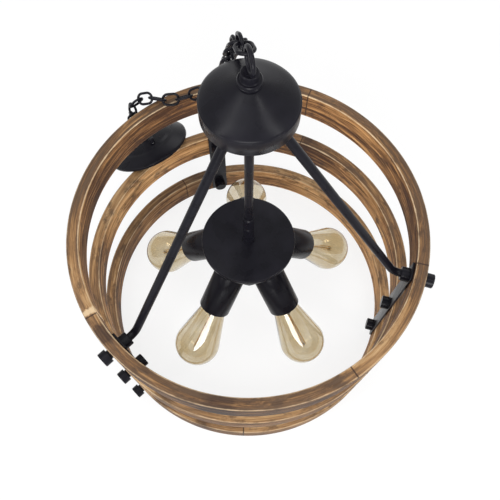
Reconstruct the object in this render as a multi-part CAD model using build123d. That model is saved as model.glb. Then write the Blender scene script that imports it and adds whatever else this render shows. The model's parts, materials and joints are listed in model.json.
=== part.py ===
from build123d import *
import math
import os

os.makedirs("parts", exist_ok=True)

# A wooden drum chandelier: three bentwood hoops on three steel straps, three rods up to a domed hub,
# and a five-lamp cluster on a stem. Its chain lies over the top hoop, with the ceiling canopy at its end.
# Millimetres, +Z up, origin on the drum's axis at the underside of the bottom hoop.

# Hoops
hoop_radius = 225.0
hoop_thickness = 15.0
hoop_height = 45.0
hoop_gap = 70.0
hoop_count = 3
hoop_edge_break = 1.2

# Straps, bolts and nuts that hold the hoops
strap_width = 25.0
strap_thickness = 3.0
strap_end_inset = 6.0
strap_corner_radius = 4.0
strap_first_azimuth = -128.4
strap_names = ["left", "right", "back"]
bolt_radius = 3.0
nut_radius = 9.0
nut_length = 10.0
nut_neck_radius = 6.0
nut_neck_length = 2.5
nut_end_wall = 2.0
nut_edge_break = 0.8

# Rods from the hub to the top hoop
arm_radius = 5.0
arm_stud_radius = 4.0
arm_bend_to_nut = 9.6
arm_bend_run = 8.7
arm_top_radius = 18.0
arm_top_end = 6.0

# Domed hub, its base plate, stem and screw collar with loop
hub_rim_height = 528.0
hub_radius = 45.0
hub_dome_rise = 22.0
hub_skirt = 18.0
hub_wall = 1.5
hub_base_thickness = 3.0
hub_base_recess = 2.0
stem_radius = 5.0
stem_nut_radius = 8.0
stem_nut_height = 6.0
collar_radius = 11.0
collar_height = 6.0
collar_step_radius = 8.0
collar_step_height = 8.0
loop_radius = 11.0
loop_wire_radius = 2.2

# Lamp plate, five-sided pan under it, coupling and finial
plate_top = 233.0
plate_radius = 61.0
plate_thickness = 2.0
plate_lip = 4.0
pan_radius = 57.0
pan_wall = 2.0
coupling_radius = 6.75
coupling_length = 53.0
plate_nut_radius = 8.0
plate_nut_height = 14.0
finial_radius = 8.0
finial_height = 10.0

# Lamps: sleeve, lampholder and bulb, all on one slanted axis
lamp_count = 5
lamp_first_azimuth = -117.0
lamp_tilt = 42.0
sleeve_mouth_radius = 82.0
sleeve_mouth_height = 152.0
sleeve_radius = 21.5
sleeve_wall = 1.2
sleeve_back_wall = 1.5
sleeve_length = 68.0
sleeve_edge_break = 1.5
nipple_radius = 5.0
nipple_inside_pan = 8.0
nipple_in_holder = 10.0
holder_radius = 18.0
contact_radius = 5.0
contact_height = 1.5
cap_radius = 13.1
cap_length = 26.6
cap_insulator_height = 4.0
glass_recess = 17.0
glass_above_holder = 1.0
glass_radius = 32.0
glass_wall = 0.8
glass_neck_radius = 14.0
glass_neck_length = 7.0
glass_reach = 101.0
lamp_stem_radius = 4.0
lamp_stem_length = 30.0
lamp_mast_radius = 0.9
lamp_mast_end_gap = 22.0

# Ceiling canopy, leaning in the gap between the top and middle hoops
canopy_azimuth = 136.2
canopy_beyond_hoop = 25.5
canopy_below_hoop_top = 13.5
canopy_lean = 30.0
canopy_radius = 63.5
canopy_lip = 4.0
canopy_depth = 25.0
canopy_wall = 1.5
knob_spacing = 68.0
knob_radius = 4.0
knob_height = 7.0
knob_screw_radius = 2.0
crossbar_length = 104.0
crossbar_width = 14.0
crossbar_thickness = 2.0
crossbar_hole_radius = 2.4
crossbar_hole_reach = 44.9

# Chain
link_count = 29
link_wire_radius = 1.7
link_width = 17.6
link_roll = 45.0
chain_azimuth = 112.0
chain_sag = 16.0
chain_hub_standoff = 10.0
chain_dome_radius = 27.0
chain_dome_height = 17.0

# The chain's way, as (degrees past chain_azimuth, radius from the top hoop's inner face, height above it)
chain_landing = (2.0, -4.3, 11.1)
chain_lying = [(6.6, -8.8, 12.8), (10.2, -4.9, 7.3), (16.2, 1.3, 8.0), (17.9, 4.7, 8.0), (21.0, 16.2, 8.8)]
# Its drop, as (degrees past canopy_azimuth, radius from the top hoop's outer face, height below its top)
chain_dropping = [(1.9, 21.0, 12.7), (2.7, 22.0, 28.0), (2.4, 29.0, 50.0)]
chain_hanging_shares = (0.25, 0.5, 0.75, 0.9)

# Clearances
hole_clearance = 0.25
thread_clearance = 0.05
cap_clearance = 0.08
seat_clearance = 0.05
end_clearance = 0.3
link_clearance = 0.3
past_face = 1.0

hoop_inner = hoop_radius - hoop_thickness
hoop_mids = [hoop_height / 2 + k * (hoop_height + hoop_gap) for k in range(hoop_count)]
drum_height = hoop_count * hoop_height + (hoop_count - 1) * hoop_gap
strap_azimuths = [strap_first_azimuth + 120 * k for k in range(3)]
strap_outer = math.sqrt(hoop_inner ** 2 - (strap_width / 2) ** 2) - seat_clearance
strap_inner = strap_outer - strap_thickness
lamp_azimuths = [lamp_first_azimuth + 360 / lamp_count * k for k in range(lamp_count)]
upward = (Align.CENTER, Align.CENTER, Align.MIN)
nodes = {}


def turned(shape, azimuth):
    return Rot(0, 0, azimuth) * shape


def post(radius, length, height=0.0):
    return Pos(0, 0, height) * Cylinder(radius, length, align=upward)


def radial_rod(radius, start, end, height):
    return Pos(start, 0, height) * Rot(0, 90, 0) * post(radius, end - start)


def spun(points):
    with BuildPart() as part:
        with BuildSketch(Plane.XZ):
            with BuildLine():
                Polyline(*points, close=True)
            make_face()
        revolve(axis=Axis.Z)
    return part.part


def group(shapes):
    return Compound(children=list(shapes))


# Wooden hoops
def hoop(mid_height):
    with BuildPart() as part:
        with BuildSketch(Plane.XZ):
            with Locations((hoop_radius - hoop_thickness / 2, mid_height)):
                Rectangle(hoop_thickness, hoop_height)
            chamfer(vertices(), hoop_edge_break)
        revolve(axis=Axis.Z)
    ring = part.part
    bore = arm_stud_radius if mid_height == hoop_mids[-1] else bolt_radius
    for azimuth in strap_azimuths:
        hole = radial_rod(bore + hole_clearance, strap_inner, hoop_radius + past_face, mid_height)
        ring -= turned(hole, azimuth)
    return ring


for name, mid_height in zip(["hoop_bottom", "hoop_middle", "hoop_top"], hoop_mids):
    nodes[name] = hoop(mid_height)


# Steel straps inside the hoops
def strap():
    length = drum_height - 2 * strap_end_inset
    bar = Box(strap_thickness, strap_width, length)
    bar = fillet(bar.edges().filter_by(Axis.X), strap_corner_radius)
    bar = Pos((strap_inner + strap_outer) / 2, 0, drum_height / 2) * bar
    for mid_height in hoop_mids:
        bore = arm_stud_radius if mid_height == hoop_mids[-1] else bolt_radius
        bar -= radial_rod(bore + hole_clearance, strap_inner - past_face, strap_outer + past_face, mid_height)
    return bar


for name, azimuth in zip(strap_names, strap_azimuths):
    nodes["strap_" + name] = turned(strap(), azimuth)


# Round nuts: a plain one on the strap, one with a neck outside the hoop
def inner_nut(height, bore, through):
    face = strap_inner
    body = radial_rod(nut_radius, face - nut_length, face, height)
    body = chamfer(body.edges().group_by(Axis.X)[0], nut_edge_break)
    start = face - nut_length + (-past_face if through else nut_end_wall)
    return body - radial_rod(bore + thread_clearance, start, face + past_face, height)


def outer_nut(height, bore):
    neck_end = hoop_radius + nut_neck_length
    head = radial_rod(nut_radius, neck_end, neck_end + nut_length, height)
    head = chamfer(head.edges().group_by(Axis.X)[-1], nut_edge_break)
    body = head + radial_rod(nut_neck_radius, hoop_radius, neck_end, height)
    bore_end = neck_end + nut_length - nut_end_wall
    return body - radial_rod(bore + thread_clearance, hoop_radius - past_face, bore_end, height)


stud_end = hoop_radius + nut_neck_length + nut_length - nut_end_wall - end_clearance
bolt_start = strap_inner - nut_length + nut_end_wall + end_clearance
bolt_places = [(azimuth, height) for azimuth in strap_azimuths for height in hoop_mids[:-1]]
bolt_rod = [turned(radial_rod(bolt_radius, bolt_start, stud_end, height), az) for az, height in bolt_places]
nodes["hoop_bolts"] = group(bolt_rod)
bolt_nuts = [turned(inner_nut(height, bolt_radius, False), az) for az, height in bolt_places]
nodes["bolt_inner_nuts"] = group(bolt_nuts)
nodes["bolt_outer_nuts"] = group(turned(outer_nut(height, bolt_radius), az) for az, height in bolt_places)

# Bent rods from the hub to the top hoop, each with a stud through strap and hoop
arm_height = hoop_mids[-1]
arm_shoulder = strap_inner - nut_length
arm_corner = arm_shoulder - arm_bend_to_nut
hub_bottom = hub_rim_height - hub_skirt
hub_base_bottom = hub_bottom + hub_base_recess
hub_base_top = hub_base_bottom + hub_base_thickness
arm_slope = (arm_corner - arm_top_radius) / (hub_base_bottom - arm_height)
arm_turn = math.pi / 2 - math.atan(arm_slope)
arm_bend_radius = arm_bend_run / math.tan(arm_turn / 2)
arm_top_height = hub_base_top + arm_top_end
arm_top = arm_corner - arm_slope * (arm_top_height - arm_height)


def arm():
    with BuildPart() as part:
        with BuildLine() as route:
            FilletPolyline(
                (arm_top, 0, arm_top_height),
                (arm_corner, 0, arm_height),
                (arm_shoulder, 0, arm_height),
                radius=arm_bend_radius,
            )
        with BuildSketch(Plane(origin=route.line @ 0, z_dir=route.line % 0)):
            Circle(arm_radius)
        sweep(path=route.line)
    return part.part + radial_rod(arm_stud_radius, arm_shoulder - past_face, stud_end, arm_height)


for name, azimuth in zip(strap_names, strap_azimuths):
    nodes["arm_" + name] = turned(arm(), azimuth)
arm_nut = inner_nut(arm_height, arm_stud_radius, True)
nodes["arm_inner_nuts"] = group(turned(arm_nut, az) for az in strap_azimuths)
nodes["arm_outer_nuts"] = group(turned(outer_nut(arm_height, arm_stud_radius), az) for az in strap_azimuths)


# Spun domes: the hub and the ceiling canopy, each a shell with a straight skirt
def dome(radius, rise, skirt, wall):
    def solid(inset):
        top = rise - inset
        side = radius - inset
        bend = (side ** 2 + top ** 2) / (2 * top)
        half = math.asin(side / bend) / 2
        middle = (bend * math.sin(half), top - bend + bend * math.cos(half))
        with BuildPart() as part:
            with BuildSketch(Plane.XZ):
                with BuildLine():
                    Line((0, -skirt), (side, -skirt))
                    Line((side, -skirt), (side, 0))
                    ThreePointArc((side, 0), middle, (0, top))
                    Line((0, top), (0, -skirt))
                make_face()
            revolve(axis=Axis.Z)
        return part.part

    return solid(0) - solid(wall)


hub_top = hub_rim_height + hub_dome_rise
stem_hole = Cylinder(stem_radius + thread_clearance, 4 * hub_radius)
hub_shell = dome(hub_radius, hub_dome_rise, hub_skirt, hub_wall) - stem_hole
nodes["hub_dome"] = Pos(0, 0, hub_rim_height) * hub_shell
hub_base = post(hub_radius - hub_wall - seat_clearance, hub_base_thickness)
hub_base = Pos(0, 0, hub_base_bottom) * hub_base - stem_hole.moved(Pos(0, 0, hub_base_bottom))
for azimuth in strap_azimuths:
    run = Vector(arm_top - arm_corner, 0, arm_top_height - arm_height)
    seat = Plane(origin=(arm_top, 0, arm_top_height), z_dir=run)
    seat = seat * Cylinder(arm_radius + thread_clearance, hub_radius)
    hub_base -= turned(seat, azimuth)
nodes["hub_base"] = hub_base

# Stem from the screw collar down to the finial, with its nuts and coupling
plate_bottom = plate_top - plate_thickness
axis_out = (math.sin(math.radians(lamp_tilt)), -math.cos(math.radians(lamp_tilt)))
sleeve_back = (
    sleeve_mouth_radius - sleeve_length * axis_out[0],
    sleeve_mouth_height - sleeve_length * axis_out[1],
)
facet_rise = math.tan(math.radians(lamp_tilt))
pan_floor_apothem = sleeve_back[0] - sleeve_radius * math.cos(math.radians(lamp_tilt)) - 2 * pan_wall
pan_floor = sleeve_back[1] - (sleeve_back[0] - pan_floor_apothem) * facet_rise
finial_bottom = pan_floor - finial_height
stem_end = finial_bottom + nut_end_wall + end_clearance
collar_base = hub_top
collar_top = collar_base + collar_height + collar_step_height
stem_top = collar_base + collar_height
nodes["stem"] = post(stem_radius, stem_top - stem_end, stem_end)
stem_bore = post(stem_radius + thread_clearance, 2 * coupling_length, -past_face)
stem_nut = post(stem_nut_radius, stem_nut_height) - stem_bore
nodes["stem_nut"] = Pos(0, 0, hub_base_bottom - stem_nut_height) * stem_nut
plate_nut = post(plate_nut_radius, plate_nut_height) - stem_bore
nodes["plate_nut"] = Pos(0, 0, plate_top) * plate_nut
coupling = post(coupling_radius, coupling_length)
coupling = chamfer(coupling.edges().filter_by(GeomType.CIRCLE), nut_edge_break) - stem_bore
nodes["stem_coupling"] = Pos(0, 0, plate_top + plate_nut_height) * coupling
finial = post(finial_radius, finial_height)
finial = fillet(finial.edges().group_by(Axis.Z)[0], finial_height / 3)
finial = Pos(0, 0, finial_bottom) * finial
finial -= post(stem_radius + thread_clearance, finial_height, finial_bottom + nut_end_wall)
nodes["pan_finial"] = finial


# Screw collar in two steps, and the wire loop that it holds
def screw_collar():
    collar = post(collar_radius, collar_height)
    collar = fillet(collar.edges().group_by(Axis.Z)[-1], nut_edge_break)
    collar += post(collar_step_radius, collar_step_height, collar_height)
    return collar - stem_bore


def wire_loop():
    ring = Pos(0, 0, loop_radius) * Rot(90, 0, 0) * Torus(loop_radius, loop_wire_radius)
    stub = post(stem_radius, collar_step_height, -collar_step_height)
    return ring + stub


loop_seat = loop_wire_radius * 0.7
hub_loop_place = Pos(0, 0, collar_top + loop_seat)
nodes["hub_collar"] = Pos(0, 0, collar_base) * screw_collar()
nodes["hub_loop"] = turned(hub_loop_place * wire_loop(), chain_azimuth)

# Lamp plate with a turned-down lip, and the five-sided pan that carries the lamps
plate = post(plate_radius, plate_lip + plate_thickness, plate_bottom - plate_lip)
plate = fillet(plate.edges().group_by(Axis.Z)[-1], plate_thickness / 2)
plate -= post(plate_radius - plate_thickness, plate_lip, plate_bottom - plate_lip)
nodes["lamp_plate"] = plate - stem_hole.moved(Pos(0, 0, plate_top))


def pan_block(inset):
    facet = inset / math.cos(math.radians(lamp_tilt))
    floor = pan_floor + inset
    low = (sleeve_back[0] + (floor - sleeve_back[1] - facet) / facet_rise)
    rise = plate_bottom - floor
    high = low + rise / facet_rise
    turn = lamp_first_azimuth - 180 / lamp_count
    with BuildPart() as part:
        with BuildSketch(Plane.XY.offset(floor)):
            RegularPolygon(low, lamp_count, major_radius=False, rotation=turn)
        with BuildSketch(Plane.XY.offset(plate_bottom)):
            RegularPolygon(high, lamp_count, major_radius=False, rotation=turn)
        loft(ruled=True)
    barrel = post(pan_radius - inset, rise, floor)
    return part.part & barrel


def lamp_frame(azimuth):
    angle = math.radians(azimuth)
    outward = (axis_out[0] * math.cos(angle), axis_out[0] * math.sin(angle), axis_out[1])
    origin = (sleeve_back[0] * math.cos(angle), sleeve_back[0] * math.sin(angle), sleeve_back[1])
    return Plane(origin=origin, x_dir=(-math.sin(angle), math.cos(angle), 0), z_dir=outward)


lamp_pan = pan_block(0) - pan_block(pan_wall)
nipple_hole = Cylinder(nipple_radius + thread_clearance, 4 * pan_wall)
for azimuth in lamp_azimuths:
    lamp_pan -= lamp_frame(azimuth) * nipple_hole
nodes["lamp_pan"] = lamp_pan - stem_hole.moved(Pos(0, 0, pan_floor))


# One lamp, modelled along its own axis from the pan's face outwards
cap_end = sleeve_length - glass_recess
cap_start = cap_end - cap_length
holder_mouth = cap_end - glass_above_holder
contact_top = cap_start - end_clearance
glass_tip = sleeve_length + glass_reach
glass_centre = glass_tip - glass_radius


def sleeve():
    cup = post(sleeve_radius, sleeve_length)
    cup = chamfer(cup.edges().group_by(Axis.Z)[0], sleeve_edge_break)
    cup -= post(sleeve_radius - sleeve_wall, sleeve_length, sleeve_back_wall)
    return cup - Cylinder(nipple_radius + thread_clearance, 4 * sleeve_back_wall)


def holder():
    body = post(holder_radius, holder_mouth - sleeve_back_wall, sleeve_back_wall)
    bore = post(cap_radius + cap_clearance, sleeve_length, contact_top - contact_height)
    back = post(nipple_radius + thread_clearance, nipple_in_holder)
    return body - bore - back


def lamp_cap():
    shoulder = cap_start + cap_insulator_height
    return spun([
        (0, cap_start),
        (contact_radius, cap_start),
        (cap_radius, shoulder),
        (cap_radius, cap_end),
        (0, cap_end),
    ])


def glass_form(inset):
    ball = glass_radius - inset
    neck = glass_neck_radius - inset
    neck_top = cap_end + glass_neck_length
    reach = math.hypot(neck, glass_centre - neck_top)
    lean = math.atan2(neck, glass_centre - neck_top)
    spread = math.acos(ball / reach) + lean
    touch = (ball * math.sin(spread), glass_centre - ball * math.cos(spread))
    start = cap_end - inset
    with BuildPart() as part:
        with BuildSketch(Plane.XZ):
            with BuildLine():
                Line((0, start), (cap_radius - inset, start))
                Line((cap_radius - inset, start), (neck, neck_top))
                Line((neck, neck_top), touch)
                ThreePointArc(touch, (ball, glass_centre), (0, glass_centre + ball))
                Line((0, glass_centre + ball), (0, start))
            make_face()
        revolve(axis=Axis.Z)
    return part.part


def lamp_filament():
    stem_part = post(lamp_stem_radius, lamp_stem_length, cap_end)
    mast_length = glass_tip - lamp_mast_end_gap - cap_end
    return stem_part + post(lamp_mast_radius, mast_length, cap_end)


lamp_places = [lamp_frame(azimuth) for azimuth in lamp_azimuths]
contact = post(contact_radius, contact_height, contact_top - contact_height)
nipple_length = nipple_inside_pan + nipple_in_holder - end_clearance
nipple = post(nipple_radius, nipple_length, -nipple_inside_pan)
nodes["lamp_nipples"] = group(place * nipple for place in lamp_places)
nodes["holder_contacts"] = group(place * contact for place in lamp_places)
for number, place in enumerate(lamp_places, 1):
    nodes[f"sleeve_{number}"] = place * sleeve()
    nodes[f"lampholder_{number}"] = place * holder()
    nodes[f"bulb_cap_{number}"] = place * lamp_cap()
    nodes[f"bulb_glass_{number}"] = place * (glass_form(0) - glass_form(glass_wall))
    nodes[f"bulb_filament_{number}"] = place * lamp_filament()

# Ceiling canopy with its loop, knobs, screws and crossed mounting bars, in its leaning frame
canopy_turn = math.radians(canopy_azimuth)
lean = math.radians(canopy_lean)
canopy_out = Vector(math.cos(canopy_turn), math.sin(canopy_turn), 0)
canopy_axis = canopy_out * math.sin(lean) + Vector(0, 0, math.cos(lean))
canopy_slope = canopy_out * math.cos(lean) - Vector(0, 0, math.sin(lean))
canopy_rim_height = hoop_mids[1] + hoop_height / 2 - canopy_below_hoop_top
canopy_origin = canopy_out * (hoop_radius + canopy_beyond_hoop) + Vector(0, 0, canopy_rim_height)
canopy_place = Plane(origin=canopy_origin, x_dir=canopy_slope, z_dir=canopy_axis)
dome_rise = canopy_depth - canopy_lip
dome_bend = (canopy_radius ** 2 + dome_rise ** 2) / (2 * dome_rise)
knob_seat = canopy_depth - dome_bend + math.sqrt(dome_bend ** 2 - (knob_spacing / 2 - knob_radius) ** 2)
canopy = Pos(0, 0, canopy_lip) * dome(canopy_radius, dome_rise, canopy_lip, canopy_wall) - stem_hole
screw_hole = post(knob_screw_radius + hole_clearance, 2 * canopy_depth)
knob = post(knob_radius, knob_height)
knob = fillet(knob.edges().group_by(Axis.Z)[-1], knob_radius / 3)
knob -= post(knob_screw_radius + thread_clearance, knob_height - nut_end_wall)
crossbar = Box(crossbar_length, crossbar_width, crossbar_thickness, align=upward)
crossbar += Box(crossbar_width, crossbar_length, crossbar_thickness, align=upward)
crossbar -= Cylinder(stem_radius + hole_clearance, 4 * crossbar_thickness)
screw_top = knob_seat + knob_height - nut_end_wall - end_clearance
screw = post(knob_screw_radius, screw_top)
knob_spots = [Pos(side * knob_spacing / 2, 0, 0) for side in (-1, 1)]
for spot in knob_spots:
    canopy -= spot * screw_hole
    crossbar -= spot * Cylinder(knob_screw_radius + thread_clearance, 4 * crossbar_thickness)
for side in (-1, 1):
    crossbar -= Pos(0, side * crossbar_hole_reach, 0) * Cylinder(crossbar_hole_radius, 4 * crossbar_thickness)
nodes["canopy"] = canopy_place * canopy
nodes["canopy_crossbar"] = canopy_place * crossbar
nodes["canopy_screws"] = group(canopy_place * (spot * screw) for spot in knob_spots)
nodes["canopy_knobs"] = group(canopy_place * (Pos(0, 0, knob_seat) * spot * knob) for spot in knob_spots)
nodes["canopy_collar"] = canopy_place * (Pos(0, 0, canopy_depth) * screw_collar())
canopy_loop_seat = canopy_depth + collar_height + collar_step_height + loop_seat
nodes["canopy_loop"] = canopy_place * (Pos(0, 0, canopy_loop_seat) * wire_loop())


# Chain: its line leaves the hub's loop, drapes over the dome, hangs to the top hoop, lies along it,
# and drops outside to the canopy's loop. Places are (azimuth, radius, height).
def place_at(azimuth, radius, height):
    angle = math.radians(azimuth)
    return Vector(radius * math.cos(angle), radius * math.sin(angle), height)


loop_reach = loop_radius - loop_wire_radius - link_clearance
hub_loop_height = collar_top + loop_seat + loop_radius
canopy_loop_centre = canopy_origin + canopy_axis * (canopy_loop_seat + loop_radius)
first_joint = place_at(chain_azimuth, loop_reach, hub_loop_height)
dome_turn = place_at(chain_azimuth, chain_dome_radius, hub_top + chain_dome_height)
leave = place_at(chain_azimuth, hub_radius + chain_hub_standoff, hub_rim_height + chain_hub_standoff / 2)


def over_hoop(turn, out, rise):
    return place_at(chain_azimuth + turn, hoop_inner + out, drum_height + rise)


def outside_hoop(turn, out, drop):
    return place_at(canopy_azimuth + turn, hoop_radius + out, drum_height - drop)


landing = over_hoop(*chain_landing)
hanging = []
for share in chain_hanging_shares:
    sag = 4 * chain_sag * share * (1 - share)
    hanging.append(leave + (landing - leave) * share - Vector(0, 0, sag))
lying = [over_hoop(*spot) for spot in chain_lying]
dropping = [outside_hoop(*spot) for spot in chain_dropping]
towards = (dropping[-1] - canopy_loop_centre).normalized()
towards = (towards - canopy_place.y_dir * towards.dot(canopy_place.y_dir)).normalized()
last_joint = canopy_loop_centre + towards * loop_reach
chain_line = Spline(first_joint, dome_turn, leave, *hanging, *lying, *dropping, last_joint)
shares = [1 / link_count] * link_count
for attempt in range(30):
    marks = [sum(shares[:k]) / sum(shares) for k in range(link_count + 1)]
    joints = [chain_line.position_at(mark) for mark in marks]
    chords = [(joints[k + 1] - joints[k]).length for k in range(link_count)]
    shares = [share / chord for share, chord in zip(shares, chords)]
link_inner = max(chords) + link_clearance


def link():
    bend = link_width / 2 - link_wire_radius
    straight = link_inner / 2 + link_wire_radius - bend
    with BuildPart() as part:
        with BuildLine() as route:
            Line((-straight, bend), (straight, bend))
            ThreePointArc((straight, bend), (straight + bend, 0), (straight, -bend))
            Line((straight, -bend), (-straight, -bend))
            ThreePointArc((-straight, -bend), (-straight - bend, 0), (-straight, bend))
        with BuildSketch(Plane(origin=(0, bend, 0), z_dir=(1, 0, 0))):
            Circle(link_wire_radius)
        sweep(path=route.wire())
    return part.part


# Each link's width is carried along the line from the one before, quarter-turned from its neighbour,
# with an even twist so that the last one stands square to the canopy's loop
along = [(joints[k + 1] - joints[k]).normalized() for k in range(link_count)]
widths = [Vector(0, 0, 1).cross(along[0]).normalized()]
for heading in along[1:]:
    carried = widths[-1] - heading * widths[-1].dot(heading)
    widths.append(carried.normalized())


def angle_about(axis, start, end):
    return math.degrees(math.atan2(axis.dot(start.cross(end)), start.dot(end)))


def half_turn(angle):
    return (angle + 90) % 180 - 90


end_twist = half_turn(angle_about(along[-1], widths[-1], canopy_place.y_dir))
lying_link = link_count * 5 // 7
level = Vector(0, 0, 1).cross(along[lying_link]).normalized()
lying_share = lying_link / (link_count - 1)
lying_now = angle_about(along[lying_link], level, widths[lying_link]) + end_twist * lying_share
lying_bump = half_turn(link_roll - lying_now) / math.sin(math.pi * lying_share)


def link_place(index):
    share = index / (link_count - 1)
    roll = end_twist * share + lying_bump * math.sin(math.pi * share) + 90 * (index % 2)
    width = widths[index].rotate(Axis((0, 0, 0), along[index]), roll)
    middle = (joints[index] + joints[index + 1]) / 2
    return Plane(origin=middle, x_dir=along[index], z_dir=along[index].cross(width))


one_link = link()
nodes["chain_links"] = group(link_place(index) * one_link for index in range(link_count))

for name, shape in nodes.items():
    export_step(shape, f"parts/{name}.step")
print("nodes", len(nodes), "drum", drum_height, "link inner length", round(link_inner, 2))
print("chord range", round(min(chords), 2), round(max(chords), 2))
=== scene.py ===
import bpy
import bmesh
import json
import math
from mathutils import Matrix, Vector


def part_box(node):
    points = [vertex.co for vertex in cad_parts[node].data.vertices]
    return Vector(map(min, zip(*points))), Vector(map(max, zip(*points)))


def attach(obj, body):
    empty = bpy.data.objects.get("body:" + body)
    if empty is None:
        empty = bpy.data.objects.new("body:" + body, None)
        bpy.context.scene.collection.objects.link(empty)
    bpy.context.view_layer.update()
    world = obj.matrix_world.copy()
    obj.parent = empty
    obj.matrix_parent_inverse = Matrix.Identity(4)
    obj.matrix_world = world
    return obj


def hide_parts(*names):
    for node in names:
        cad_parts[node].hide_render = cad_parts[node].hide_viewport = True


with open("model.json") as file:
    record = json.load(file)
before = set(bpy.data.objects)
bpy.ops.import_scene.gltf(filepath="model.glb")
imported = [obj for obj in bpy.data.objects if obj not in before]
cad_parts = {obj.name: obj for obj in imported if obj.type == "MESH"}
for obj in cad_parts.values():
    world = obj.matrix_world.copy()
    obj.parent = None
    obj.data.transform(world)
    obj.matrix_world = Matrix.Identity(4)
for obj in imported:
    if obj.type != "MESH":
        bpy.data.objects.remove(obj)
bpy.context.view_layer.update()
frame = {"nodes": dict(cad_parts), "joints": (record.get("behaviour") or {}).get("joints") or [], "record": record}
nodes = frame["nodes"]
joints = {joint["child"]: joint for joint in frame["joints"]}
mm = 0.001
fixture = "fixture"
print("frame loaded:", len(nodes), "nodes")


# camera, as the photograph was taken: steeply from above the near side
cameraLook = {
    "focalPixels": 598.2,
    "imagePixels": 500,
    "elevation": 67.38,
    "yaw": -6.88,
    "roll": 0.84,
    "place": (0.0398, -0.3113, 0.9485),
    "sensor": 36.0,
}


def makeCamera(look):
    tilt = math.radians(look["elevation"])
    yaw = math.radians(look["yaw"])
    roll = math.radians(look["roll"])
    forward = Vector((math.cos(tilt) * math.sin(yaw), math.cos(tilt) * math.cos(yaw), -math.sin(tilt)))
    right = Vector((math.cos(yaw), -math.sin(yaw), 0))
    up = right.cross(forward)
    side = right * math.cos(roll) + up * math.sin(roll)
    top = up * math.cos(roll) - right * math.sin(roll)
    lens = bpy.data.cameras.new("photoCamera")
    lens.sensor_width = look["sensor"]
    lens.lens = look["focalPixels"] / look["imagePixels"] * look["sensor"]
    lens.clip_start = 0.01
    camera = bpy.data.objects.new("photoCamera", lens)
    turn = Matrix((side, top, -forward)).transposed().to_4x4()
    camera.matrix_world = Matrix.Translation(look["place"]) @ turn
    bpy.context.scene.collection.objects.link(camera)
    bpy.context.scene.camera = camera


makeCamera(cameraLook)
print("camera placed")


# small helpers for shader trees
def addNode(tree, kind, inputs=None, **settings):
    made = tree.nodes.new(kind)
    for key, value in settings.items():
        setattr(made, key, value)
    for socket, value in (inputs or {}).items():
        if isinstance(value, bpy.types.NodeSocket):
            tree.links.new(value, made.inputs[socket])
        else:
            made.inputs[socket].default_value = value
    return made


def calc(tree, operation, first, second=0.0, third=0.0):
    made = addNode(tree, "ShaderNodeMath", {0: first, 1: second, 2: third}, operation=operation)
    return made.outputs[0]


def spread(tree, value, low, high, first, last):
    made = addNode(tree, "ShaderNodeMapRange", {0: value, 1: low, 2: high, 3: first, 4: last})
    return made.outputs[0]


def distance(tree, value, place):
    return calc(tree, "ABSOLUTE", calc(tree, "SUBTRACT", value, place))


def pieceCoordinates(tree):
    return addNode(tree, "ShaderNodeTexCoord").outputs["Object"]


# 1 for rays that show the white surroundings, 0 for those that light the object
def backdropRays(tree):
    rays = addNode(tree, "ShaderNodeLightPath").outputs
    through = calc(tree, "MAXIMUM", rays["Is Glossy Ray"], rays["Is Transmission Ray"])
    return calc(tree, "MAXIMUM", rays["Is Camera Ray"], through)


def ramp(tree, factor, stops):
    made = addNode(tree, "ShaderNodeValToRGB", {"Fac": factor})
    band = made.color_ramp
    while len(band.elements) < len(stops):
        band.elements.new(0.5)
    for element, (place, colour) in zip(band.elements, stops):
        element.position = place
        element.color = (*colour, 1.0)
    return made.outputs["Color"]


def blendColour(tree, factor, first, second, mode="MIX"):
    made = addNode(tree, "ShaderNodeMix", data_type="RGBA", blend_type=mode)
    for socket, value in ((0, factor), (6, first), (7, second)):
        if isinstance(value, bpy.types.NodeSocket):
            tree.links.new(value, made.inputs[socket])
        else:
            made.inputs[socket].default_value = value
    return made.outputs[2]


def noise(tree, vector, scale, detail=4.0, roughness=0.55):
    made = addNode(
        tree, "ShaderNodeTexNoise",
        {"Vector": vector, "Scale": scale, "Detail": detail, "Roughness": roughness},
    )
    return made.outputs["Fac"]


def newMaterial(name):
    material = bpy.data.materials.new(name)
    material.use_nodes = True
    tree = material.node_tree
    return material, tree, tree.nodes["Principled BSDF"]


def stretch(tree, first, second, third, scales):
    parts = [calc(tree, "MULTIPLY", value, scale) for value, scale in zip((first, second, third), scales)]
    return addNode(tree, "ShaderNodeCombineXYZ", {0: parts[0], 1: parts[1], 2: parts[2]}).outputs[0]


def carve(tree, shader, height, strength, depth):
    bump = addNode(tree, "ShaderNodeBump", {"Strength": strength, "Distance": depth, "Height": height})
    tree.links.new(bump.outputs[0], shader.inputs["Normal"])


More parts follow.
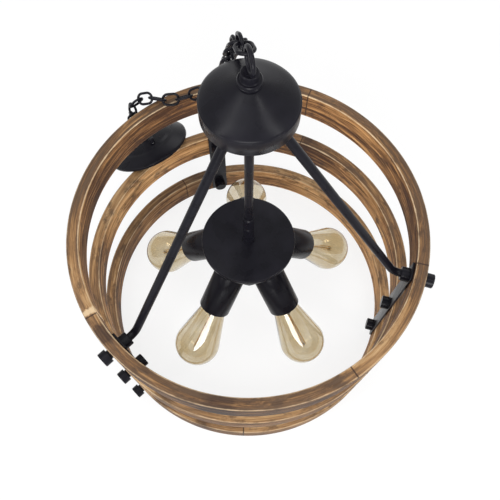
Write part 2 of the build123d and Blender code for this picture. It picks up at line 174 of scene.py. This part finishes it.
# weathered, stained wood whose grain runs round the hoop, with painted light on the inner faces, painted shade on
# the outer faces and pale edges that are partly wear and partly painted highlight
woodLook = {
    "dark": (0.034, 0.014, 0.006),
    "brown": (0.125, 0.060, 0.023),
    "gold": (0.285, 0.152, 0.058),
    "pale": (0.480, 0.315, 0.160),
    "grey": (0.225, 0.145, 0.085),
    "wornAndHighlight": (0.640, 0.480, 0.300),
    "stain": (0.026, 0.012, 0.008),
    "warpScale": (9, 40, 40),  # along the hoop, across it, upwards
    "warpHeight": 0.016,
    "warpRadius": 0.010,
    "fibreScale": (26, 700, 700),
    "bandScale": (7, 190, 190),
    "blotchScale": (34, 70, 60),
    "plankScale": (5, 8, 8),
    "fibreShare": 0.40,
    "bandShare": 0.60,
    "plankSwing": 0.42,
    "tones": ((0.36, "dark"), (0.45, "brown"), (0.54, "gold"), (0.68, "pale")),
    "stainStart": 0.52,
    "stainEnd": 0.66,
    "stainShare": 0.80,
    "patchRagged": 2.6,
    "patchCore": 0.55,
    "edgeBandWidth": 0.0016,
    "edgeWearAndHighlightRagged": 0.003,
    "edgeWearAndHighlightShare": 0.85,
    "seamWidth": 0.0005,
    "seamShare": 0.9,
    "outerPaintedShade": 0.55,
    "innerPaintedLight": (1.75, 1.70, 1.62),
    "greyShare": 0.32,
    "dullRough": 0.80,
    "smoothRough": 0.55,
    "gloss": 0.3,
    "relief": 0.45,
    "reliefDepth": 0.0008,
}


# an azimuth in degrees as the angle counted from the hoop's cut
def fromCut(azimuth, cut):
    return math.radians((azimuth - cut) % 360 - 180)


def weatheredWood(name, shift, low, high, inner, outer, cut, seams, patches):
    material, tree, shader = newMaterial(name)
    look = woodLook
    coordinate = pieceCoordinates(tree)
    turn = (0, 0, math.radians(180 - cut))
    turned = addNode(tree, "ShaderNodeMapping", {"Vector": coordinate, "Rotation": turn}).outputs[0]
    axes = addNode(tree, "ShaderNodeSeparateXYZ", {0: turned}).outputs
    squares = calc(tree, "MULTIPLY_ADD", axes[0], axes[0], calc(tree, "MULTIPLY", axes[1], axes[1]))
    radius = calc(tree, "SQRT", squares)
    angle = calc(tree, "ARCTAN2", axes[1], axes[0])
    arc = calc(tree, "MULTIPLY_ADD", angle, outer, shift)
    height = axes[2]
    warp = noise(tree, stretch(tree, arc, radius, height, look["warpScale"]), 1.0, 2.0)
    bentHeight = calc(tree, "MULTIPLY_ADD", warp, look["warpHeight"], height)
    bentRadius = calc(tree, "MULTIPLY_ADD", warp, look["warpRadius"], radius)
    fibre = noise(tree, stretch(tree, arc, bentRadius, bentHeight, look["fibreScale"]), 1.0, 4.0, 0.75)
    band = noise(tree, stretch(tree, arc, bentRadius, bentHeight, look["bandScale"]), 1.0, 3.0, 0.6)
    blotch = noise(tree, stretch(tree, arc, radius, height, look["blotchScale"]), 1.0, 5.0, 0.68)
    plank = noise(tree, stretch(tree, arc, radius, height, look["plankScale"]), 1.0, 1.0)
    uneven = calc(tree, "SUBTRACT", blotch, 0.5)
    bandPart = calc(tree, "MULTIPLY", band, look["bandShare"])
    mixed = calc(tree, "MULTIPLY_ADD", fibre, look["fibreShare"], bandPart)
    mixed = calc(tree, "MULTIPLY_ADD", calc(tree, "SUBTRACT", plank, 0.5), look["plankSwing"], mixed)
    for seam, step in seams:
        past = calc(tree, "GREATER_THAN", angle, fromCut(seam, cut))
        mixed = calc(tree, "MULTIPLY_ADD", past, step, mixed)
    colour = ramp(tree, mixed, [(place, look[tone]) for place, tone in look["tones"]])
    darker = spread(tree, blotch, look["stainStart"], look["stainEnd"], 0.0, look["stainShare"])
    colour = blendColour(tree, darker, colour, (*look["stain"], 1.0))
    # upward faces are mixed a little towards grey, most where the grain bands are low
    normal = addNode(tree, "ShaderNodeNewGeometry").outputs["Normal"]
    upward = addNode(tree, "ShaderNodeSeparateXYZ", {0: normal}).outputs[2]
    facing = spread(tree, upward, 0.5, 0.9, 0.0, look["greyShare"])
    upwardGrey = calc(tree, "MULTIPLY", facing, spread(tree, band, 0.40, 0.6, 0.9, 0.2))
    colour = blendColour(tree, upwardGrey, colour, (*look["grey"], 1.0))
    for middle, width, tone, strength in patches:
        away = distance(tree, angle, fromCut(middle, cut))
        half = math.radians(width / 2)
        ragged = calc(tree, "MULTIPLY_ADD", uneven, look["patchRagged"] * half, away)
        inside = spread(tree, ragged, half, look["patchCore"] * half, 0.0, strength)
        colour = blendColour(tree, inside, colour, (*look[tone], 1.0))
    # painted light: the inner faces are multiplied lighter
    wide = look["edgeBandWidth"]
    narrow = 0.2 * wide
    innerLightMask = spread(tree, radius, inner + wide, inner + narrow, 0.0, 1.0)
    colour = blendColour(tree, innerLightMask, colour, (*look["innerPaintedLight"], 1.0), "MULTIPLY")
    # edges are painted pale, partly as wear and partly as painted highlight on the rounded edges
    nearSide = calc(tree, "MINIMUM", distance(tree, radius, outer), distance(tree, radius, inner))
    nearEnd = calc(tree, "MINIMUM", distance(tree, height, low), distance(tree, height, high))
    edge = calc(tree, "MAXIMUM", nearSide, nearEnd)
    ragged = calc(tree, "MULTIPLY_ADD", uneven, look["edgeWearAndHighlightRagged"], edge)
    edgeWearAndHighlight = spread(tree, ragged, narrow, wide, look["edgeWearAndHighlightShare"], 0.0)
    colour = blendColour(tree, edgeWearAndHighlight, colour, (*look["wornAndHighlight"], 1.0))
    for seam, step in seams:
        away = calc(tree, "MULTIPLY", distance(tree, angle, fromCut(seam, cut)), outer)
        line = spread(tree, away, look["seamWidth"], 2.5 * look["seamWidth"], look["seamShare"], 0.0)
        colour = blendColour(tree, line, colour, (*look["stain"], 1.0))
    # painted shade: the outer faces are multiplied towards brown
    outside = spread(tree, radius, outer - wide, outer - narrow, 0.0, look["outerPaintedShade"])
    colour = blendColour(tree, outside, colour, (*look["brown"], 1.0), "MULTIPLY")
    tree.links.new(colour, shader.inputs["Base Color"])
    rough = spread(tree, fibre, 0.3, 0.7, look["dullRough"], look["smoothRough"])
    tree.links.new(rough, shader.inputs["Roughness"])
    shader.inputs["Specular IOR Level"].default_value = look["gloss"]
    grain = calc(tree, "MULTIPLY_ADD", band, look["bandShare"], fibre)
    carve(tree, shader, grain, look["relief"], look["reliefDepth"])
    return material


# satin black powder coat with a fine orange-peel skin
metalLook = {
    "black": (0.0050, 0.0048, 0.0072),
    "rubbed": (0.0090, 0.0085, 0.0125),
    "cloudScale": 35.0,
    "peelScale": 700.0,
    "peel": 0.12,
    "peelDepth": 0.0002,
    "lowRough": 0.24,
    "highRough": 0.34,
    "sheen": 0.11,
}


def powderCoat(name, look):
    material, tree, shader = newMaterial(name)
    coordinate = pieceCoordinates(tree)
    cloud = noise(tree, coordinate, look["cloudScale"], 3.0)
    peel = noise(tree, coordinate, look["peelScale"], 2.0)
    colour = ramp(tree, cloud, [(0.35, look["black"]), (0.75, look["rubbed"])])
    tree.links.new(colour, shader.inputs["Base Color"])
    rough = spread(tree, cloud, 0.3, 0.7, look["lowRough"], look["highRough"])
    tree.links.new(rough, shader.inputs["Roughness"])
    shader.inputs["Specular IOR Level"].default_value = look["sheen"]
    carve(tree, shader, peel, look["peel"], look["peelDepth"])
    return material


# drawn metals and the moulded holder: a dark and a light tone in a fine cloud
cloudedLook = {
    "drawnBrass": {
        "dark": (0.45, 0.30, 0.11), "light": (0.72, 0.52, 0.22), "scale": 160.0, "detail": 4.0,
        "lowRough": 0.28, "highRough": 0.40, "metal": 1.0,
    },
    "zincPlate": {
        "dark": (0.36, 0.36, 0.38), "light": (0.62, 0.62, 0.63), "scale": 160.0, "detail": 4.0,
        "lowRough": 0.34, "highRough": 0.46, "metal": 1.0,
    },
    "filamentGold": {
        "dark": (0.62, 0.33, 0.06), "light": (0.85, 0.52, 0.12), "scale": 160.0, "detail": 4.0,
        "lowRough": 0.32, "highRough": 0.44, "metal": 1.0,
    },
    "mouldedHolder": {
        "dark": (0.010, 0.010, 0.010), "light": (0.022, 0.021, 0.020), "scale": 220.0, "detail": 3.0,
        "lowRough": 0.5, "highRough": 0.65, "metal": 0.0,
    },
}


def clouded(name):
    look = cloudedLook[name]
    material, tree, shader = newMaterial(name)
    coordinate = pieceCoordinates(tree)
    cloud = noise(tree, coordinate, look["scale"], look["detail"])
    colour = ramp(tree, cloud, [(0.3, look["dark"]), (0.7, look["light"])])
    tree.links.new(colour, shader.inputs["Base Color"])
    rough = spread(tree, cloud, 0.3, 0.7, look["lowRough"], look["highRough"])
    tree.links.new(rough, shader.inputs["Roughness"])
    shader.inputs["Metallic"].default_value = look["metal"]
    return material


# pale amber blown glass, with faint drawn streaks
glassLook = {
    "pale": (0.78, 0.725, 0.61),
    "amber": (0.71, 0.62, 0.45),
    "streakScale": 28.0,
    "highRough": 0.012,
    "index": 1.50,
}


def blownGlass(name, look):
    material, tree, shader = newMaterial(name)
    coordinate = pieceCoordinates(tree)
    streak = noise(tree, coordinate, look["streakScale"], 2.0)
    colour = ramp(tree, streak, [(0.35, look["pale"]), (0.7, look["amber"])])
    tree.links.new(colour, shader.inputs["Base Color"])
    rough = spread(tree, streak, 0.3, 0.7, 0.0, look["highRough"])
    tree.links.new(rough, shader.inputs["Roughness"])
    shader.inputs["Transmission Weight"].default_value = 1.0
    shader.inputs["IOR"].default_value = look["index"]
    return material


blackCoat = powderCoat("satinBlackCoat", metalLook)
brass = clouded("drawnBrass")
zinc = clouded("zincPlate")
filamentGold = clouded("filamentGold")
holderBlack = clouded("mouldedHolder")
amberGlass = blownGlass("amberGlass", glassLook)
slotMaterials = {
    "black_metal": blackCoat,
    "zinc": zinc,
    "brass": brass,
    "holder": holderBlack,
    "amber_glass": amberGlass,
    "filament": filamentGold,
}
for part in frame["record"]["subparts"]:
    finish = slotMaterials.get(part["material_slot"])
    if finish:
        mesh = nodes[part["node"]].data
        mesh.materials.clear()
        mesh.materials.append(finish)
print("finishes made")


# shared bmesh builders
def lathe(points, steps, closed=True):
    shape = bmesh.new()
    corners = [shape.verts.new((x * mm, 0, z * mm)) for x, z in points]
    pairs = list(zip(corners, corners[1:]))
    if closed:
        pairs.append((corners[-1], corners[0]))
    edges = [shape.edges.new(pair) for pair in pairs]
    bmesh.ops.spin(
        shape, geom=corners + edges, cent=(0, 0, 0), axis=(0, 0, 1),
        angle=2 * math.pi, steps=steps, use_merge=True,
    )
    bmesh.ops.remove_doubles(shape, verts=shape.verts, dist=1e-6)
    bmesh.ops.dissolve_degenerate(shape, dist=1e-7, edges=shape.edges)
    bmesh.ops.recalc_face_normals(shape, faces=shape.faces)
    return shape


def arcPoints(centre, radius, startDegrees, endDegrees, count):
    points = []
    for k in range(count + 1):
        turn = math.radians(startDegrees + (endDegrees - startDegrees) * k / count)
        points.append((centre[0] + radius * math.cos(turn), centre[1] + radius * math.sin(turn)))
    return points


def settle(name, shape, material, body, replaced=(), place=None, sharp=35):
    mesh = bpy.data.meshes.new(name)
    shape.to_mesh(mesh)
    shape.free()
    if place is not None:
        mesh.transform(place)
    for face in mesh.polygons:
        face.use_smooth = True
    mesh.set_sharp_from_angle(angle=math.radians(sharp))
    mesh.materials.append(material)
    piece = bpy.data.objects.new(name, mesh)
    bpy.context.scene.collection.objects.link(piece)
    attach(piece, body)
    if replaced:
        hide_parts(*replaced)


# wooden hoops with eased edges
# seams are azimuths and tone steps; patches are azimuths, widths, tones and strengths
hoopLook = {
    "thickness": 15.0, "bevel": 1.6, "steps": 192, "rows": 4,
    "hoops": {
        "hoop_top": {
            "cut": -142.8, "shift": 0.0,
            "seams": ((-139.9, -0.05), (-49.0, 0.01), (-6.0, -0.005), (75.0, -0.005)),
            "patches": (
                (-141.4, 2.4, "wornAndHighlight", 0.75), (-132.5, 7.0, "stain", 0.75), (-91.0, 12.0, "stain", 0.55),
            ),
        },
        "hoop_middle": {
            "cut": 166.0, "shift": 3.1,
            "seams": ((75.3, 0.06), (-38.0, -0.05)),
            "patches": ((73.0, 4.0, "stain", 0.6), (-112.0, 9.0, "stain", 0.5)),
        },
        "hoop_bottom": {
            "cut": 31.0, "shift": 6.7,
            "seams": ((-84.0, 0.05), (128.0, -0.04)),
            "patches": (
                (140.0, 110.0, "stain", 0.35), (120.0, 16.0, "stain", 0.5), (-100.0, 8.0, "stain", 0.4),
            ),
        },
    },
}


def bentHoop(nodeName, details):
    low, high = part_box(nodeName)
    outer = high.x
    inner = outer - hoopLook["thickness"] * mm
    bevel = hoopLook["bevel"]
    bottom, top = low.z / mm, high.z / mm
    wide, narrow = outer / mm, inner / mm
    section = []
    for x, z, start in (
        (wide - bevel, bottom + bevel, -90), (wide - bevel, top - bevel, 0),
        (narrow + bevel, top - bevel, 90), (narrow + bevel, bottom + bevel, 180),
    ):
        section += arcPoints((x, z), bevel, start, start + 90, hoopLook["rows"])
    shape = lathe(section, hoopLook["steps"])
    finish = weatheredWood(
        nodeName + "Wood", details["shift"], low.z, high.z, inner, outer,
        details["cut"], details["seams"], details["patches"],
    )
    settle(nodeName + "_wood", shape, finish, fixture, (nodeName,))


for nodeName, details in hoopLook["hoops"].items():
    bentHoop(nodeName, details)
print("hoops bent")


# flat straps with rounded ends and softened edges
strapLook = {
    "length": 263.0, "width": 25.0, "thickness": 3.0, "middle": 137.5, "face": 208.08,
    "corner": 4.0, "cornerRows": 8, "edge": 0.5, "edgeRows": 3,
    "azimuths": {"strap_left": -128.4, "strap_right": -8.4, "strap_back": 111.6},
}


def flatStrap(nodeName, azimuth):
    look = strapLook
    shape = bmesh.new()
    bmesh.ops.create_cube(shape, size=mm)
    bmesh.ops.scale(shape, vec=(look["thickness"], look["width"], look["length"]), verts=shape.verts)
    corners = [e for e in shape.edges if abs((e.verts[0].co - e.verts[1].co).x) > mm]
    bmesh.ops.bevel(
        shape, geom=corners, offset=look["corner"] * mm, segments=look["cornerRows"], profile=0.5,
        affect="EDGES", material=-1,
    )
    rims = [e for e in shape.edges if e.calc_face_angle(0) > 1.0]
    bmesh.ops.bevel(
        shape, geom=rims, offset=look["edge"] * mm, segments=look["edgeRows"], profile=0.5,
        affect="EDGES", material=-1,
    )
    bmesh.ops.recalc_face_normals(shape, faces=shape.faces)
    place = Matrix.Rotation(math.radians(azimuth), 4, "Z")
    place = place @ Matrix.Translation((look["face"] * mm, 0, look["middle"] * mm))
    settle(nodeName + "_bar", shape, blackCoat, fixture, (nodeName,), place)


for nodeName, azimuth in strapLook["azimuths"].items():
    flatStrap(nodeName, azimuth)
print("straps cut")


# domed hub: rolled rim, sides that sweep up to the screw collar
hubLook = {
    "rim": 528.0, "radius": 45.0, "rise": 22.0, "skirt": 18.0, "wall": 1.5,
    "hole": 5.05, "sweep": 3.4, "sweepEnd": 0.87, "sweepRate": 1.15,
    "bead": 0.9, "lip": 0.4, "innerLip": 0.3, "steps": 96, "rows": 32,
}


def domeHeight(radius, look):
    bend = (look["radius"] ** 2 + look["rise"] ** 2) / (2 * look["rise"])
    return look["rise"] - bend + math.sqrt(bend ** 2 - radius ** 2)


def hubShell(look):
    outside = []
    inside = []
    for k in range(look["rows"] + 1):
        share = k / look["rows"]
        radius = look["radius"] + (look["hole"] - look["radius"]) * share
        dip = 0.0
        if share < look["sweepEnd"]:
            dip = look["sweep"] * math.sin(math.pi * min(1.0, look["sweepRate"] * share))
        height = look["rim"] + domeHeight(radius, look) - dip
        outside.append((radius, height))
        inside.append((max(look["hole"], radius - look["wall"]), height - look["wall"]))
    bottom = look["rim"] - look["skirt"]
    wide, narrow = look["radius"], look["radius"] - look["wall"]
    bead, lip = look["bead"], look["lip"]
    skirt = [
        (narrow, bottom + look["innerLip"]), (narrow + lip, bottom),
        (wide - lip, bottom), (wide, bottom + lip),
    ]
    rim = arcPoints((wide - bead, look["rim"] - bead), bead, 0, 75, 5)
    profile = skirt + rim + outside[1:] + inside[:0:-1]
    return lathe(profile, look["steps"])


settle("hub_dome_shell", hubShell(hubLook), blackCoat, fixture, ("hub_dome",), sharp=50)

# screw collar with a groove, coupling with two rings, and the lamp plate's rolled edge
turnedLook = {
    "hub_collar": {
        "steps": 64,
        "profile": (
            (5.05, 550), (10.5, 550), (11, 550.5), (11, 552.0), (10.3, 552.5), (10.3, 553.1), (11, 553.6),
            (11, 555.0), (10.2, 556), (8.6, 556.1), (8, 556.7), (8, 563.2), (7.3, 564), (5.05, 564),
        ),
    },
    "stem_coupling": {
        "steps": 48,
        "profile": (
            (5.05, 247), (6.2, 247), (6.75, 247.6), (6.75, 271.6), (6.3, 272.1), (6.3, 272.9),
            (6.75, 273.4), (6.75, 296.0), (6.3, 296.5), (6.3, 297.1), (6.75, 297.6), (6.75, 299.4),
            (6.2, 300), (5.05, 300),
        ),
    },
    "lamp_plate": {
        "steps": 128,
        "profile": (
            (5.05, 233), (58.9, 233), (59.9, 232.8), (60.6, 232.2), (61, 231.2), (61, 227.5), (60.6, 227.0),
            (59.4, 227.0), (59, 227.4), (59, 230.4), (58.4, 231), (5.05, 231),
        ),
    },
}
for nodeName, look in turnedLook.items():
    shape = lathe(look["profile"], look["steps"])
    settle(nodeName + "_turned", shape, blackCoat, fixture, (nodeName,), sharp=40)
print("hub and plate turned")


# lamps, measured from the end of the bulb's cap along the lamp's axis
lampLook = {
    "sleeve": {
        "steps": 72,
        "profile": (
            (5.1, -51), (19.8, -51), (21.0, -50.6), (21.5, -49.4), (21.5, 16.3), (21.3, 16.8), (20.9, 17),
            (20.5, 16.8), (20.3, 16.3), (20.3, -49.5), (5.1, -49.5),
        ),
    },
    "glass": {
        "cap": 13.1, "capLift": 0.05, "neck": 14.0, "neckTop": 7.0, "neckEase": ((-0.2, -2.0), (0.25, 1.2)),
        "ball": 32.0, "centre": 86.0, "wall": 0.8, "rows": 26, "steps": 96,
    },
    "stem": {
        "steps": 24,
        "profile": ((0, 0.3), (4.0, 0.3), (3.6, 6), (2.6, 14), (2.0, 24), (2.6, 28), (2.4, 30), (0, 30.3)),
    },
    "mast": {"start": 28.0, "end": 93.0, "radius": 0.3},
    "strands": {
        "count": 4, "start": 33.0, "end": 94.0, "startSpread": 1.2, "endSpread": 3.2,
        "radius": 0.42, "bead": 1.6,
    },
    "leads": {"startSpread": 2.2, "endSpread": 1.6, "start": 12.0, "end": 33.0, "radius": 0.35},
    "hooks": {"heights": (33.0, 93.0), "radius": 0.5, "length": 3.4},
}


def along(place, axis):
    return Matrix.Translation(place) @ Vector(axis).to_track_quat("Z", "Y").to_matrix().to_4x4()


def teardrop(look, inset):
    ball = look["ball"] - inset
    neck = look["neck"] - inset
    rise = look["centre"] - look["neckTop"]
    reach = math.hypot(neck, rise)
    spreadAngle = math.acos(ball / reach) + math.atan2(neck, rise)
    start = -90 + math.degrees(spreadAngle)
    points = [(look["cap"] - inset, look["capLift"])]
    points += [(neck + x, look["neckTop"] + z) for x, z in look["neckEase"]]
    points += arcPoints((0, look["centre"]), ball, start, 90, look["rows"])
    points[-1] = (0, look["centre"] + ball)
    return points


def rodBetween(shape, first, last, radius, sides=8):
    first, last = Vector(first) * mm, Vector(last) * mm
    place = along((first + last) / 2, last - first)
    bmesh.ops.create_cone(
        shape, cap_ends=True, segments=sides, radius1=radius * mm, radius2=radius * mm,
        depth=(last - first).length, matrix=place,
    )


def filamentWires(look):
    shape = bmesh.new()
    strands = look["strands"]
    for k in range(strands["count"]):
        turn = 2 * math.pi * (k + 0.5) / strands["count"]
        x, y = math.cos(turn), math.sin(turn)
        near = (strands["startSpread"] * x, strands["startSpread"] * y, strands["start"])
        far = (strands["endSpread"] * x, strands["endSpread"] * y, strands["end"])
        rodBetween(shape, near, far, strands["radius"])
        bmesh.ops.create_icosphere(
            shape, subdivisions=1, radius=strands["radius"] * strands["bead"] * mm,
            matrix=Matrix.Translation(Vector(far) * mm),
        )
    return shape


def supportWires(look):
    shape = bmesh.new()
    mast = look["mast"]
    rodBetween(shape, (0, 0, mast["start"]), (0, 0, mast["end"]), mast["radius"])
    leads = look["leads"]
    hooks = look["hooks"]
    for side in (-1, 1):
        near = (side * leads["startSpread"], 0, leads["start"])
        far = (side * leads["endSpread"], 0, leads["end"])
        rodBetween(shape, near, far, leads["radius"])
    for height in hooks["heights"]:
        rodBetween(shape, (-hooks["length"], 0, height), (hooks["length"], 0, height), hooks["radius"])
        rodBetween(shape, (0, -hooks["length"], height), (0, hooks["length"], height), hooks["radius"])
    return shape


def makeLamp(number):
    body = "bulb_" + str(number)
    joint = joints[body]
    place = along(joint["pos_m"], joint["axis"])
    tag = str(number)
    sleeve = lampLook["sleeve"]
    settle(
        "sleeve_shell_" + tag, lathe(sleeve["profile"], sleeve["steps"]), blackCoat, fixture,
        ("sleeve_" + tag,), place,
    )
    glass = lampLook["glass"]
    wall = teardrop(glass, 0.0) + teardrop(glass, glass["wall"])[::-1]
    settle(
        "bulb_bowl_" + tag, lathe(wall, glass["steps"]), amberGlass, body,
        ("bulb_glass_" + tag,), place, sharp=60,
    )
    stem = lampLook["stem"]
    settle(
        "bulb_stem_" + tag, lathe(stem["profile"], stem["steps"], False), amberGlass, body,
        (), place, sharp=60,
    )
    settle("bulb_supports_" + tag, supportWires(lampLook), holderBlack, body, (), place)
    settle(
        "bulb_strands_" + tag, filamentWires(lampLook), filamentGold, body,
        ("bulb_filament_" + tag,), place,
    )


for number in range(1, len(joints) + 1):
    makeLamp(number)
print("lamps made")


# ceiling canopy: rolled lip, shallow dome with a pressed ring
canopyLook = {
    "azimuth": 136.2, "offset": 250.5, "rimHeight": 146.5, "lean": 30.0,
    "radius": 63.5, "rise": 21.0, "lip": 4.0, "wall": 1.5, "hole": 5.05,
    "innerEase": 0.4, "outerEase": 0.5, "topEase": 0.6,
    "ring": 43.0, "ringDip": 0.9, "ringWidth": 2.6, "steps": 128, "rows": 40,
}


def canopyShell(look):
    outside = []
    inside = []
    for k in range(look["rows"] + 1):
        radius = look["radius"] + (look["hole"] - look["radius"]) * k / look["rows"]
        dip = look["ringDip"] * math.exp(-((radius - look["ring"]) / look["ringWidth"]) ** 2)
        height = look["lip"] + domeHeight(radius, look) - dip
        outside.append((radius, height))
        inside.append((max(look["hole"], radius - look["wall"]), height - look["wall"]))
    wide, narrow = look["radius"], look["radius"] - look["wall"]
    inner, outer, top = look["innerEase"], look["outerEase"], look["lip"]
    lip = [
        (narrow, inner), (narrow + inner, 0), (wide - outer, 0), (wide, outer),
        (wide, top - look["topEase"]), (wide - look["topEase"] / 2, top),
    ]
    profile = lip + outside[1:] + inside[:0:-1]
    return lathe(profile, look["steps"])


def canopyPlace(look):
    azimuth = math.radians(look["azimuth"])
    lean = math.radians(look["lean"])
    outward = Vector((math.cos(azimuth), math.sin(azimuth), 0))
    axis = outward * math.sin(lean) + Vector((0, 0, math.cos(lean)))
    return along((outward * look["offset"] + Vector((0, 0, look["rimHeight"]))) * mm, axis)


settle(
    "canopy_shell", canopyShell(canopyLook), blackCoat, fixture, ("canopy",),
    canopyPlace(canopyLook), sharp=50,
)
print("canopy spun")


# studio: pale floor, soft light from above, white all round
stageLook = {
    "floorSize": 20.0, "floorColour": (0.90, 0.90, 0.90), "floorShade": 0.985, "floorRough": 0.9,
    "floorWhite": 0.82, "worldStrength": 0.58,
    "lights": {  # place, height of the point aimed at, size, watts
        "overheadSoft": ((-0.5, -0.4, 2.3), 0.2, (1.6, 1.6), 11),
        "frontSoft": ((0.1, -1.9, 0.9), 0.2, (1.2, 0.8), 34),
        "leftStrip": ((-1.1, -0.9, 1.5), 0.25, (0.30, 1.5), 9),
        "rightStrip": ((1.2, -0.5, 1.7), 0.25, (0.25, 1.3), 9),
        "backSoft": ((0.3, 1.9, 1.5), 0.3, (1.4, 1.0), 11),
    },
}


def makeFloor(look):
    shape = bmesh.new()
    bmesh.ops.create_grid(shape, x_segments=2, y_segments=2, size=look["floorSize"])
    mesh = bpy.data.meshes.new("paleFloor")
    shape.to_mesh(mesh)
    shape.free()
    material, tree, shader = newMaterial("paleFloor")
    coordinate = pieceCoordinates(tree)
    cloud = noise(tree, coordinate, 3.0)
    pale = look["floorColour"]
    shaded = tuple(look["floorShade"] * value for value in pale)
    tree.links.new(ramp(tree, cloud, [(0.3, shaded), (0.7, pale)]), shader.inputs["Base Color"])
    shader.inputs["Roughness"].default_value = look["floorRough"]
    whiteness = calc(tree, "MULTIPLY", backdropRays(tree), look["floorWhite"])
    glow = addNode(tree, "ShaderNodeEmission", {"Color": (1, 1, 1, 1), "Strength": 1.0}).outputs[0]
    blend = addNode(tree, "ShaderNodeMixShader", {0: whiteness, 1: shader.outputs[0], 2: glow}).outputs[0]
    tree.links.new(blend, tree.nodes["Material Output"].inputs["Surface"])
    mesh.materials.append(material)
    floor = bpy.data.objects.new("paleFloor", mesh)
    bpy.context.scene.collection.objects.link(floor)


def makeLights(look):
    for name, (place, aimHeight, size, watts) in look["lights"].items():
        light = bpy.data.lights.new(name, "AREA")
        light.shape = "RECTANGLE"
        light.size, light.size_y = size
        light.energy = watts
        softbox = bpy.data.objects.new(name, light)
        softbox.location = place
        aim = Vector((0, 0, aimHeight)) - Vector(place)
        softbox.rotation_euler = aim.to_track_quat("-Z", "Y").to_euler()
        bpy.context.scene.collection.objects.link(softbox)


def makeWorld(look):
    world = bpy.data.worlds.new("whiteRoom")
    bpy.context.scene.world = world
    world.use_nodes = True
    sky = world.node_tree
    background = sky.nodes["Background"]
    strength = spread(sky, backdropRays(sky), 0.0, 1.0, look["worldStrength"], 1.0)
    background.inputs["Color"].default_value = (1, 1, 1, 1)
    sky.links.new(strength, background.inputs["Strength"])
    bpy.context.scene.view_settings.view_transform = "Standard"


makeFloor(stageLook)
makeLights(stageLook)
makeWorld(stageLook)
print("studio lit")

print("pieces ready")
